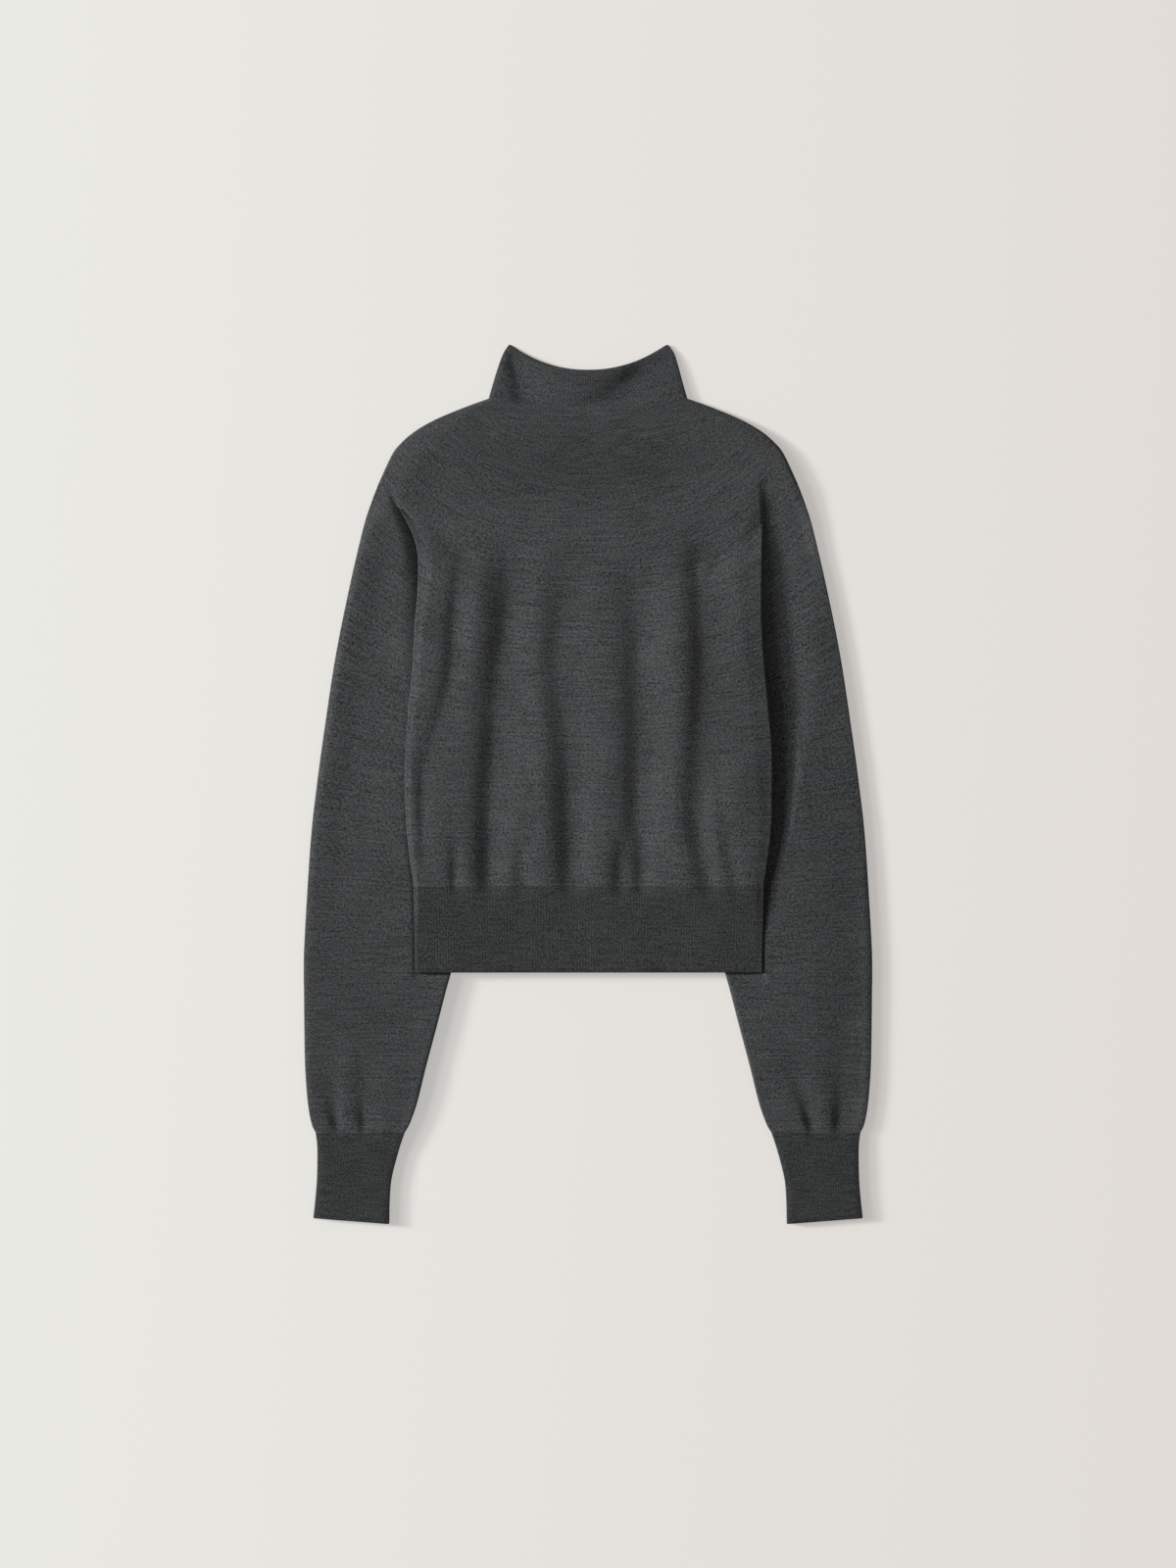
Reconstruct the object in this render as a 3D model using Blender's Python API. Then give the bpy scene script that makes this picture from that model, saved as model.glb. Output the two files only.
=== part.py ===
# Mock neck sweater, laid flat on a surface with its front up. Its sleeves are folded straight down, so that
# their inner halves lie under the body.
# Metres. +X is the wearer's left, +Y runs from the hem to the collar, and +Z is up from the surface at z = 0.
# The origin is on the surface, under the middle of the garment's outline.
import math
from collections import namedtuple

import bpy

# Walls and gaps
cloth_wall = 0.0014
rib_wall = 0.0018
seam_gap = 0.0004
layer_gap = 0.0003

# Heights above the surface
neck_height = 0.0048
rim_height = 0.0044
armhole_height = 0.0067
sleeve_height = 0.0067
cuff_height = 0.0062
body_middle_height = 0.0063
hem_middle_height = 0.0060
pressed_at_armhole = 0.0032
pressed_below = 0.0044
body_side_at_armhole = 0.0032
body_side_below = 0.0056
settling_length = 0.100

# The yoke's lowest course, from one shoulder fold round to the other
yoke_edge_x = 0.1815
yoke_edge_y = 0.2610
yoke_middle_y = 0.1819
yoke_bowl = 3.2
neck_middle_y = 0.3264
neck_bowl = 2.2

# Under the body: how far the sleeve stays pressed past the body's side fold, and where the back climbs onto it
pressed_margin = 0.0008
puffed_margin = 0.0075
pressed_past_hem = 0.0030
puffed_past_hem = 0.0145
wrist_split_x = 0.195
climb_start = 0.0240
climb_end = 0.0020
dish_start = 0.0300
dish_end = 0.0100

# Mesh fineness
fold_turns = (math.pi / 8, 3 * math.pi / 8)
first_guess = 0.02
tangent_step = 0.001
search_steps = 30
smooth_angle = math.radians(40)

ShoulderPoint = namedtuple("ShoulderPoint", "x y")
shoulder = [
    ShoulderPoint(0.0862, 0.3343),
    ShoulderPoint(0.1080, 0.3264),
    ShoulderPoint(0.1322, 0.3162),
    ShoulderPoint(0.1500, 0.3060),
    ShoulderPoint(0.1620, 0.2958),
    ShoulderPoint(0.1700, 0.2856),
    ShoulderPoint(yoke_edge_x, yoke_edge_y),
]

# Courses of the tubes: where each meets the side folds, and its height on the middle line
Course = namedtuple("Course", "edge_x edge_y middle_y")
collar_courses = [
    Course(0.0862, 0.3343, 0.3264),
    Course(0.0820, 0.3490, 0.3345),
    Course(0.0775, 0.3625, 0.3426),
    Course(0.0735, 0.3730, 0.3506),
    Course(0.0695, 0.3808, 0.3587),
]
body_courses = [
    Course(0.1687, 0.2445, 0.1819),
    Course(0.1594, 0.2168, 0.1690),
    Course(0.1528, 0.1932, 0.1550),
    Course(0.1482, 0.1700, 0.1400),
    Course(0.1495, 0.1386, 0.1165),
    Course(0.1530, 0.1020, 0.0890),
    Course(0.1564, 0.0655, 0.0590),
    Course(0.1583, 0.0290, 0.0262),
    Course(0.1586, -0.0060, -0.0072),
    Course(0.1560, -0.0440, -0.0443),
    Course(0.1519, -0.0884, -0.0884),
]
hem_courses = [
    Course(0.1519, -0.0884, -0.0884),
    Course(0.1510, -0.1130, -0.1130),
    Course(0.1500, -0.1400, -0.1400),
    Course(0.1497, -0.1640, -0.1640),
]

# Sections of a sleeve, from its outer fold to its inner fold. Curl is how far the section still follows the
# yoke's lowest course.
Section = namedtuple("Section", "outer_x outer_y inner_x inner_y curl")
sleeve_sections = [
    Section(0.1815, 0.2610, 0.1110, 0.1983, 1.00),
    Section(0.1890, 0.2410, 0.1030, 0.1690, 0.70),
    Section(0.1951, 0.2210, 0.0965, 0.1360, 0.35),
    Section(0.2070, 0.1700, 0.0885, 0.0900, 0.10),
    Section(0.2190, 0.1100, 0.0862, 0.0520, 0.00),
    Section(0.2290, 0.0440, 0.0875, 0.0150, 0.00),
    Section(0.2350, 0.0000, 0.0925, -0.0220, 0.00),
    Section(0.2405, -0.0500, 0.0985, -0.0640, 0.00),
    Section(0.2458, -0.1350, 0.1120, -0.1370, 0.00),
    Section(0.2465, -0.1665, 0.1195, -0.1665, 0.00),
    Section(0.2463, -0.1790, 0.1230, -0.1790, 0.00),
    Section(0.2460, -0.2100, 0.1310, -0.2100, 0.00),
    Section(0.2453, -0.2450, 0.1403, -0.2450, 0.00),
    Section(0.2430, -0.2760, 0.1480, -0.2760, 0.00),
    Section(0.2397, -0.2945, 0.1545, -0.2945, 0.00),
    Section(0.2362, -0.3020, 0.1588, -0.3020, 0.00),
]
cuff_sections = [
    Section(0.2362, -0.3020, 0.1588, -0.3020, 0.00),
    Section(0.2348, -0.3150, 0.1635, -0.3160, 0.00),
    Section(0.2350, -0.3400, 0.1700, -0.3410, 0.00),
    Section(0.2363, -0.3580, 0.1718, -0.3605, 0.00),
    Section(0.2382, -0.3757, 0.1722, -0.3808, 0.00),
]

# Long soft troughs down the front of the body
Trough = namedtuple("Trough", "top_x top_y low_x low_y depth half_width")
troughs = [
    Trough(-0.116, 0.165, -0.124, 0.030, 0.0007, 0.015),
    Trough(-0.072, 0.172, -0.075, -0.086, 0.0013, 0.017),
    Trough(-0.012, 0.160, -0.013, -0.086, 0.0011, 0.019),
    Trough(0.049, 0.165, 0.047, -0.086, 0.0011, 0.017),
    Trough(0.102, 0.178, 0.095, -0.086, 0.0014, 0.017),
]
trough_fade = 0.030


def smooth_step(value, start, end):
    share = min(max((value - start) / (end - start), 0.0), 1.0)
    return share * share * (3.0 - 2.0 * share)


def blend(first, second, share):
    return first + (second - first) * share


# The value at y on a line through points that run down the garment
def on_line(points, y):
    if y >= points[0][1]:
        return points[0][0]
    for (x_above, y_above), (x_below, y_below) in zip(points, points[1:]):
        if y >= y_below:
            return blend(x_above, x_below, (y_above - y) / (y_above - y_below))
    return points[-1][0]


def yoke_course_y(x):
    return yoke_middle_y + (yoke_edge_y - yoke_middle_y) * abs(x / yoke_edge_x) ** yoke_bowl


# The body's side fold, and below the hem the line that parts a sleeve's columns down to its wrist
def body_side_x(y):
    line = [(course.edge_x, course.edge_y) for course in body_courses + hem_courses[1:]]
    return on_line(line + [(wrist_split_x, sleeve_sections[-1].outer_y)], y)


def sleeve_inner_x(y):
    return on_line([(section.inner_x, section.inner_y) for section in sleeve_sections], y)


# 0 at the yoke's lowest course, 1 where the layers below it have settled to their full height
def settled(x, y):
    return smooth_step(yoke_course_y(x) - y, 0.0, settling_length)


def pressed_sleeve_top(x, y):
    return blend(pressed_at_armhole, pressed_below, settled(x, y))


# A sleeve is puffed up where it shows, and pressed flat where the body lies on it
def sleeve_top(x, y):
    side = abs(x) - body_side_x(y)
    past_hem = hem_courses[-1].edge_y - y
    under_body = smooth_step(side, puffed_margin, pressed_margin)
    under_body *= smooth_step(past_hem, puffed_past_hem, pressed_past_hem)
    wrist = sleeve_sections[-1].outer_y
    puffed = blend(sleeve_height, cuff_height, smooth_step(y, wrist + settling_length / 2, wrist))
    return blend(puffed, pressed_sleeve_top(x, y), under_body)


# The body's underside lies on the surface between the sleeves, and climbs onto them at the sides
def body_underside(x, y):
    climb = smooth_step(abs(x) - sleeve_inner_x(y), -climb_start, -climb_end)
    return climb * (pressed_sleeve_top(x, y) + layer_gap)


def trough_depth(x, y):
    depth = 0.0
    for trough in troughs:
        share = (trough.top_y - y) / (trough.top_y - trough.low_y)
        line_x = blend(trough.top_x, trough.low_x, share)
        ends = smooth_step(y, trough.top_y, trough.top_y - trough_fade)
        ends *= smooth_step(y, trough.low_y, trough.low_y + trough_fade)
        depth += trough.depth * ends * math.exp(-(((x - line_x) / trough.half_width) ** 2))
    return depth


def layered_top(x, y, middle_height):
    side = pressed_sleeve_top(x, y) + layer_gap
    side += blend(body_side_at_armhole, body_side_below, settled(x, y))
    middle = blend(armhole_height, middle_height, settled(x, y))
    return blend(middle, side, smooth_step(abs(x) - sleeve_inner_x(y), -dish_start, dish_end))


def body_top(x, y):
    return layered_top(x, y, body_middle_height) - trough_depth(x, y) * settled(x, y)


def hem_top(x, y):
    return layered_top(x, y, hem_middle_height)


def surface(x, y):
    return 0.0


def level(height):
    return lambda x, y: height


# A course of a tube laid flat: share 0 is at its left fold, 1 at its right fold
def course_line(course, bowl):
    def place(share):
        across = 1.0 - 2.0 * share
        rise = abs(across) ** bowl
        return course.edge_x * across, blend(course.middle_y, course.edge_y, rise)

    return place


# A section of the left sleeve: share 0 is at its outer fold, 1 at its inner fold
def section_line(section):
    first = sleeve_sections[0]

    def place(share):
        x = blend(section.outer_x, section.inner_x, share)
        y = blend(section.outer_y, section.inner_y, share)
        seam_x = blend(first.outer_x, first.inner_x, share)
        chord_y = blend(first.outer_y, first.inner_y, share)
        return x, y + section.curl * (yoke_course_y(seam_x) - chord_y)

    return place


# The share of a line, searched from its start, where x falls to a limit that depends on y
def crossing(place, limit, end):
    low, high = 0.0, end
    for _ in range(search_steps):
        middle = (low + high) / 2
        x, y = place(middle)
        if abs(x) > limit(y):
            low = middle
        else:
            high = middle
    return low


# Columns between a section's two folds, which end at start and at end
def even_columns(count):
    return lambda start, end: [blend(start, end, step / count) for step in range(count + 1)]


# Columns of a sleeve's section, close together where it dips under the body
def sleeve_columns(place, visible, hidden):
    def under(margin):
        return crossing(place, lambda y: body_side_x(y) + margin, 1.0)

    def spread(start, end):
        shown = even_columns(visible)(start, under(puffed_margin))
        return shown + even_columns(hidden)(under(pressed_margin), end)

    return spread


# Columns of a course of the body, close together where its underside climbs onto the sleeves
def climbing_columns(place, side, middle):
    def climbed(margin):
        return crossing(place, lambda y: sleeve_inner_x(y) - margin, 0.5)

    def spread(start, end):
        half = even_columns(side)(start, climbed(climb_end))
        half.append(climbed((climb_start + climb_end) / 2))
        half += even_columns(middle)(climbed(climb_start), 0.5)
        return half + [1.0 - share for share in reversed(half[:-1])]

    return spread


# The upper or lower half of a flattened tube's section, from fold to fold, its folds rounded by facets that
# touch a quarter circle. Depth is 0 on the outside of the wall and the wall's thickness on its inside. The
# whole row is moved down the garment by shift.
def half_section(place, low, high, columns, sign, shift, depth):
    width = math.dist(place(0.0), place(1.0))

    def point(share, z):
        (x1, y1), (x2, y2) = place(share - tangent_step), place(share + tangent_step)
        run = math.hypot(x2 - x1, y2 - y1)
        x, y = place(share)
        return x - (y2 - y1) / run * shift, y + (x2 - x1) / run * shift, z

    def fold(at_end):
        guess = 1.0 - first_guess if at_end else first_guess
        bottom, top = low(*place(guess)), high(*place(guess))
        outer_radius, middle = (top - bottom) / 2, (top + bottom) / 2
        radius = outer_radius - depth
        insets = [(depth, seam_gap / 2)]
        for turn in fold_turns:
            inset = depth + radius * (1.0 - math.cos(turn) / math.cos(fold_turns[0]))
            insets.append((inset, radius * math.sin(turn) / math.cos(fold_turns[0])))
        points = []
        for inset, rise in insets:
            share = 1.0 - inset / width if at_end else inset / width
            points.append(point(share, middle + sign * rise))
        return points, outer_radius / width

    first_fold, start = fold(False)
    last_fold, end = fold(True)
    inner = []
    for share in columns(start, 1.0 - end):
        x, y = place(share)
        inner.append(point(share, high(x, y) - depth if sign > 0 else low(x, y) + depth))
    return first_fold + inner + last_fold[::-1]


# A tube's row leaves out the points where its two halves would part
def tube_row(place, low, high, upper_columns, lower_columns, shift, depth):
    upper = half_section(place, low, high, upper_columns, 1, shift, depth)[1:-1]
    lower = half_section(place, low, high, lower_columns, -1, shift, depth)[1:-1]
    return upper + lower[::-1]


# Rows are moved off a seam that they share with another piece
def shifts(count, seam_above, seam_below):
    moved = [0.0] * count
    moved[0] = seam_gap / 2 if seam_above else 0.0
    moved[-1] = -seam_gap / 2 if seam_below else 0.0
    return moved


# A wall between an outer and an inner grid of points, closed along its edges
def add_piece(name, outer, inner, is_tube, flipped, material):
    rows, size = len(outer), len(outer[0])
    inner_start = rows * size
    faces = []
    for row in range(rows - 1):
        for column in range(size if is_tube else size - 1):
            corner, beside = row * size + column, row * size + (column + 1) % size
            face = (corner, beside, beside + size, corner + size)
            faces.append(face)
            faces.append(tuple(inner_start + index for index in face[::-1]))
    first = list(range(size))
    last = [(rows - 1) * size + column for column in range(size)]
    if is_tube:
        rims = [first + first[:1], last[::-1] + last[-1:]]
    else:
        left = [row * size for row in range(rows)]
        right = [row * size + size - 1 for row in range(rows)]
        rims = [first + right[1:] + last[-2::-1] + left[-2::-1]]
    for rim in rims:
        for start, end in zip(rim, rim[1:]):
            faces.append((end, start, inner_start + start, inner_start + end))
    if flipped:
        faces = [face[::-1] for face in faces]
    mesh = bpy.data.meshes.new(name)
    mesh.from_pydata([point for row in outer + inner for point in row], [], faces)
    mesh.materials.append(material)
    mesh.shade_smooth()
    mesh.set_sharp_from_angle(angle=smooth_angle)
    piece = bpy.data.objects.new(name, mesh)
    bpy.context.scene.collection.objects.link(piece)


def wool(name, grey):
    material = bpy.data.materials.new(name)
    material.use_nodes = True
    shader = material.node_tree.nodes["Principled BSDF"]
    shader.inputs["Base Color"].default_value = (grey, grey, grey * 1.05, 1.0)
    shader.inputs["Roughness"].default_value = 0.95
    shader.inputs["Metallic"].default_value = 0.0
    return material


def add_yoke(material):
    first, last = shoulder[0], shoulder[-1]
    run = [0.0]
    for above, below in zip(shoulder, shoulder[1:]):
        run.append(run[-1] + math.dist(above, below))
    lines = []
    for point, done in zip(shoulder, run):
        share = done / run[-1]
        middle_y = blend(neck_middle_y, yoke_middle_y, share)
        course = Course(point.x, point.y, middle_y)
        lines.append((course_line(course, blend(neck_bowl, yoke_bowl, share)), share))
    for name, sign, columns in (("yoke_front", 1, 36), ("yoke_back", -1, 36)):
        walls = []
        for depth in (0.0, cloth_wall):
            rows = []
            for (place, share), shift in zip(lines, shifts(len(lines), True, True)):
                high = level(blend(neck_height, armhole_height, share))
                rows.append(half_section(place, surface, high, even_columns(columns), sign, shift, depth))
            walls.append(rows)
        add_piece(name, *walls, False, sign < 0, material)


def add_body(material):
    lines = [course_line(course, yoke_bowl) for course in body_courses]
    for name, sign in (("body_front", 1), ("body_back", -1)):
        walls = []
        for depth in (0.0, cloth_wall):
            rows = []
            for place, shift in zip(lines, shifts(len(lines), True, True)):
                columns = even_columns(36) if sign > 0 else climbing_columns(place, 5, 6)
                rows.append(half_section(place, body_underside, body_top, columns, sign, shift, depth))
            walls.append(rows)
        add_piece(name, *walls, False, sign < 0, material)


def add_collar(material):
    moved = shifts(len(collar_courses), False, True)
    walls = []
    for depth in (0.0, rib_wall):
        rows = []
        for index, course in enumerate(reversed(collar_courses)):
            high = level(blend(rim_height, neck_height, index / (len(collar_courses) - 1)))
            place = course_line(course, neck_bowl)
            rows.append(tube_row(place, surface, high, even_columns(20), even_columns(14), moved[index], depth))
        walls.append(rows)
    add_piece("collar", *walls, True, False, material)


def add_hem_band(material):
    walls = []
    for depth in (0.0, rib_wall):
        rows = []
        for course, shift in zip(hem_courses, shifts(len(hem_courses), True, False)):
            place = course_line(course, yoke_bowl)
            climbing = climbing_columns(place, 5, 6)
            rows.append(tube_row(place, body_underside, hem_top, even_columns(20), climbing, shift, depth))
        walls.append(rows)
    add_piece("hem_band", *walls, True, False, material)


def add_sleeve(name, side, material):
    walls = []
    for depth in (0.0, cloth_wall):
        rows = []
        for section, shift in zip(sleeve_sections, shifts(len(sleeve_sections), True, True)):
            place = section_line(section)
            dipping = sleeve_columns(place, 5, 6)
            row = tube_row(place, surface, sleeve_top, dipping, even_columns(8), shift, depth)
            rows.append([(side * x, y, z) for x, y, z in row])
        walls.append(rows)
    add_piece(name, *walls, True, side < 0, material)


def add_cuff(name, side, material):
    walls = []
    for depth in (0.0, rib_wall):
        rows = []
        for section, shift in zip(cuff_sections, shifts(len(cuff_sections), True, False)):
            place = section_line(section)
            high = level(cuff_height)
            row = tube_row(place, surface, high, even_columns(7), even_columns(5), shift, depth)
            rows.append([(side * x, y, z) for x, y, z in row])
        walls.append(rows)
    add_piece(name, *walls, True, side < 0, material)


def build():
    for old in list(bpy.data.objects):
        bpy.data.objects.remove(old, do_unlink=True)
    plain = wool("plain_knit", 0.052)
    rib = wool("rib_knit", 0.040)
    add_yoke(plain)
    add_body(plain)
    add_collar(rib)
    add_hem_band(rib)
    for name, side in (("left", 1), ("right", -1)):
        add_sleeve("sleeve_" + name, side, plain)
        add_cuff("cuff_" + name, side, rib)


build()
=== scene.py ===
import math
import bpy
import numpy as np
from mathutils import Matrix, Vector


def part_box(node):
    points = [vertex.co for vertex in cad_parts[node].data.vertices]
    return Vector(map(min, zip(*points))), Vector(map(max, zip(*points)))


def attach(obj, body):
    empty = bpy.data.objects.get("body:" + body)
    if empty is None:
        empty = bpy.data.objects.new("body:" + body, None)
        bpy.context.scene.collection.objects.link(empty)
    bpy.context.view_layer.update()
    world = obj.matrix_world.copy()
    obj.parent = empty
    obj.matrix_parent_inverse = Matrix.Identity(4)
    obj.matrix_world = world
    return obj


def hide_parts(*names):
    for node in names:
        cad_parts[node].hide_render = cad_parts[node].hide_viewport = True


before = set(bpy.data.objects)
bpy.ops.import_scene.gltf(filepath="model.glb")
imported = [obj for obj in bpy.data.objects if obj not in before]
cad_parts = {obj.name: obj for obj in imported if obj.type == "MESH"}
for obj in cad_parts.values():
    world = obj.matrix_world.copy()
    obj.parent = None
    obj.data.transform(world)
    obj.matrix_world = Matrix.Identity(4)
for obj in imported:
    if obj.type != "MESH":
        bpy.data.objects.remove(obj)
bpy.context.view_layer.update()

# The sweater lies flat, front up. +X is the wearer's left, +Y the collar end, z = 0 the surface below it.
# All sizes are metres.

hemLow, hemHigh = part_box("hem_band")
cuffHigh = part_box("cuff_left")[1]

seam = {
    "hemTop": hemHigh.y,
    "hemEdge": hemLow.y,
    "wrist": cuffHigh.y,
}

knit = {
    "course": 0.0014,    # one stitch up the cloth
    "wall": 0.0013,
    "ribWall": 0.0015,
    "grid": 0.0021,      # spacing of the meshes
    "foldSteps": 6,      # mesh rows round a quarter of a fold
    "pinches": (0.6, 0.6),   # widths of the two folds of a tube for their height
    "foldSettles": 0.012,    # how far in from a fold the troughs reach their full depth
    "thinnest": 2.2,         # the least height of the laid body and hem band, in walls
    "sharpAngle": math.radians(65),
}


# Forms shared by every piece

def blend(first, second, share):
    return first + (second - first) * share


def smoothStep(value, start, end):
    share = np.clip((value - start) / (end - start), 0.0, 1.0)
    return share * share * (3.0 - 2.0 * share)


def quarterRound(near, run):
    # from 0 on a fold to 1 a run further in
    return np.sin(np.clip(near / run, 0, 1) * math.pi / 2)


def spline(points, at):
    # a Catmull-Rom curve through the rows of a table
    rows = np.asarray(points, float)
    padded = np.vstack([2 * rows[0] - rows[1], rows, 2 * rows[-1] - rows[-2]])
    at = np.clip(at, 0.0, len(rows) - 1.0)
    index = np.minimum(at.astype(int), len(rows) - 2)
    t = (at - index)[..., None]
    a, b, c, d = (padded[index + step] for step in range(4))
    return 0.5 * (2 * b + (c - a) * t + (2 * a - 5 * b + 4 * c - d) * t**2 + (3 * b - a - 3 * c + d) * t**3)


def evenRows(points, spacing):
    # rows of a table that are one spacing apart on its line
    finePerRow = 40
    fine = np.linspace(0, len(points) - 1, finePerRow * len(points))
    line = spline(points, fine)
    steps = np.linalg.norm(np.diff(line[:, :2], axis=0), axis=1)
    run = np.concatenate([[0.0], np.cumsum(steps)])
    count = max(2, round(run[-1] / spacing)) + 1
    return spline(points, np.interp(np.linspace(0, run[-1], count), run, fine))


def ripples(seed, count, shortest, longest):
    # a gentle unevenness, as a sum of waves in random directions
    rng = np.random.RandomState(seed)
    length = shortest * (longest / shortest) ** rng.rand(count)
    angle = rng.rand(count) * math.tau
    phase = rng.rand(count) * math.tau
    strength = length / length.max()

    def height(x, y):
        total = 0.0
        for k in range(count):
            wave = math.tau / length[k]
            along = x * math.cos(angle[k]) + y * math.sin(angle[k])
            total = total + strength[k] * np.sin(along * wave + phase[k])
        return total / math.sqrt(count)

    return height


def smoothTable(rows):
    # a table in millimetres, read against its first column through a smooth curve, in metres
    finePerRow, millimetre = 24, 0.001
    fine = spline(rows, np.linspace(0, len(rows) - 1, finePerRow * len(rows)))
    order = np.argsort(fine[:, 0])
    fine = fine[order] * millimetre

    def read(at, column):
        return np.interp(at, fine[:, 0], fine[:, column])

    return read


def foldLines(tables):
    # soft troughs, or ridges where the depth is negative: y, middle x, depth, and widths left and right
    lines = [(smoothTable(rows), min(row[2] for row in rows) < 0) for rows in tables]

    def depth(x, y):
        total = 0.0
        for line, isRidge in lines:
            across = x - line(y, 1)
            wide = np.where(across < 0, line(y, 3), line(y, 4))
            deep = np.minimum(line(y, 2), 0.0) if isRidge else np.maximum(line(y, 2), 0.0)
            total = total + deep * np.exp(-((across / wide) ** 2))
        return total

    return depth


# The garment's lines

cut = {
    "shoulder": [  # x, y of the shoulder fold, from the neck to the yoke's edge
        (0.0862, 0.3343), (0.1080, 0.3264), (0.1322, 0.3162), (0.1500, 0.3060),
        (0.1620, 0.2958), (0.1700, 0.2856), (0.1815, 0.2610),
    ],
    "neckMiddleY": 0.3264, "neckBowl": 2.2,
    "yokeMiddleY": 0.1819, "yokeBowl": 3.2,
    "collar": [
        (0.0862, 0.3343, 0.0862, 0.3343, 0.3264), (0.0820, 0.3490, 0.0820, 0.3490, 0.3345),
        (0.0776, 0.3630, 0.0783, 0.3630, 0.3426), (0.0736, 0.3742, 0.0750, 0.3742, 0.3506),
        (0.0695, 0.3826, 0.0704, 0.3826, 0.3585),
    ],
    "body": [  # x, y at the wearer's right side fold, x, y at the left one, y on the middle line
        (0.1636, 0.2386, 0.1516, 0.2265, 0.1819), (0.1577, 0.2282, 0.1512, 0.2200, 0.1755),
        (0.1525, 0.2172, 0.1508, 0.2110, 0.1690), (0.1489, 0.2065, 0.1505, 0.2020, 0.1625),
        (0.1473, 0.1940, 0.1504, 0.1900, 0.1550), (0.1471, 0.1768, 0.1503, 0.1740, 0.1440),
        (0.1482, 0.1580, 0.1503, 0.1570, 0.1310), (0.1501, 0.1360, 0.1506, 0.1360, 0.1150),
        (0.1516, 0.1020, 0.1528, 0.1020, 0.0890), (0.1553, 0.0655, 0.1561, 0.0680, 0.0590),
        (0.1578, 0.0290, 0.1592, 0.0320, 0.0262), (0.1584, -0.0060, 0.1596, -0.0060, -0.0072),
        (0.1565, -0.0440, 0.1583, -0.0440, -0.0443), (0.1510, -0.0884, 0.1522, -0.0884, -0.0884),
    ],
    # where the dents above the two armholes run out
    "rightDent": [(0.1712, 0.2620), (0.1684, 0.2500)],
    "leftDent": [(0.1502, 0.2600), (0.1510, 0.2480), (0.1514, 0.2370)],
    "hem": [
        (0.1510, -0.0884, 0.1522, -0.0884, -0.0884), (0.1505, -0.1130, 0.1518, -0.1130, -0.1130),
        (0.1499, -0.1400, 0.1511, -0.1400, -0.1400), (0.1497, -0.1627, 0.1508, -0.1627, -0.1627),
    ],
    "sleeve": [  # outer x, y, inner x, y, and how far the section still follows the yoke's edge
        (0.1815, 0.2610, 0.1110, 0.1983, 1.00), (0.1890, 0.2410, 0.1030, 0.1690, 0.70),
        (0.1951, 0.2210, 0.0965, 0.1360, 0.35), (0.2070, 0.1700, 0.0885, 0.0900, 0.10),
        (0.2190, 0.1100, 0.0862, 0.0520, 0.00), (0.2290, 0.0440, 0.0875, 0.0150, 0.00),
        (0.2350, 0.0000, 0.0925, -0.0220, 0.00), (0.2405, -0.0500, 0.0985, -0.0640, 0.00),
        (0.2458, -0.1350, 0.1120, -0.1370, 0.00), (0.2465, -0.1665, 0.1195, -0.1665, 0.00),
        (0.2463, -0.1790, 0.1230, -0.1790, 0.00), (0.2460, -0.2100, 0.1310, -0.2100, 0.00),
        (0.2453, -0.2450, 0.1403, -0.2450, 0.00), (0.2430, -0.2760, 0.1480, -0.2760, 0.00),
        (0.2397, -0.2945, 0.1545, -0.2945, 0.00), (0.2362, -0.3020, 0.1588, -0.3020, 0.00),
    ],
    "cuff": [
        (0.2362, -0.3020, 0.1588, -0.3020, 0.00), (0.2348, -0.3150, 0.1635, -0.3160, 0.00),
        (0.2350, -0.3400, 0.1700, -0.3410, 0.00), (0.2363, -0.3580, 0.1718, -0.3605, 0.00),
        (0.2382, -0.3757, 0.1722, -0.3808, 0.00),
    ],
    "wristSplitX": 0.195,    # where the line beside the body meets the wrist
}


def fineLine(name):
    fineSteps = 400
    return spline(cut[name], np.linspace(0, len(cut[name]) - 1, fineSteps))


bodyLine, hemLine, sleeveLine = fineLine("body"), fineLine("hem"), fineLine("sleeve")
wristSplit = np.array([[cut["wristSplitX"], cut["sleeve"][-1][1]]])
sideLines = [
    np.vstack([cut[dent], bodyLine[:, k:k + 2], hemLine[1:, k:k + 2], wristSplit])[::-1]
    for dent, k in (("rightDent", 0), ("leftDent", 2))]
innerLine = sleeveLine[::-1, 2:4]
outerLine = sleeveLine[::-1, :2]


def bySide(x, onRight, onLeft):
    # the wearer's left sleeve and side lie on +X
    return np.where(x > 0, onLeft, onRight)


def bodySideX(x, y):
    return bySide(x, *(np.interp(y, line[:, 1], line[:, 0]) for line in sideLines))


def sleeveInnerX(y):
    return np.interp(y, innerLine[:, 1], innerLine[:, 0])


def sleeveOuterX(y):
    return np.interp(y, outerLine[:, 1], outerLine[:, 0])


def yokeCourseY(x):
    rise = np.abs(x / cut["shoulder"][-1][0]) ** cut["yokeBowl"]
    return cut["yokeMiddleY"] + (cut["shoulder"][-1][1] - cut["yokeMiddleY"]) * rise


def below(x, y, run):
    # 0 on the yoke's edge, 1 a run further down
    return smoothStep(yokeCourseY(x) - y, 0.0, run)


print("lines of the garment ready")


# Meshes from courses and sections

def courseLines(table, bowl):
    table = np.asarray(table)

    def place(share):
        across = 2.0 * share - 1.0
        rise = np.abs(across) ** bowl
        x = np.where(across < 0, table[:, 0:1], table[:, 2:3]) * across
        edge = np.where(across < 0, table[:, 1:2], table[:, 3:4])
        return x, blend(table[:, 4:5], edge, rise)

    return place


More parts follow.
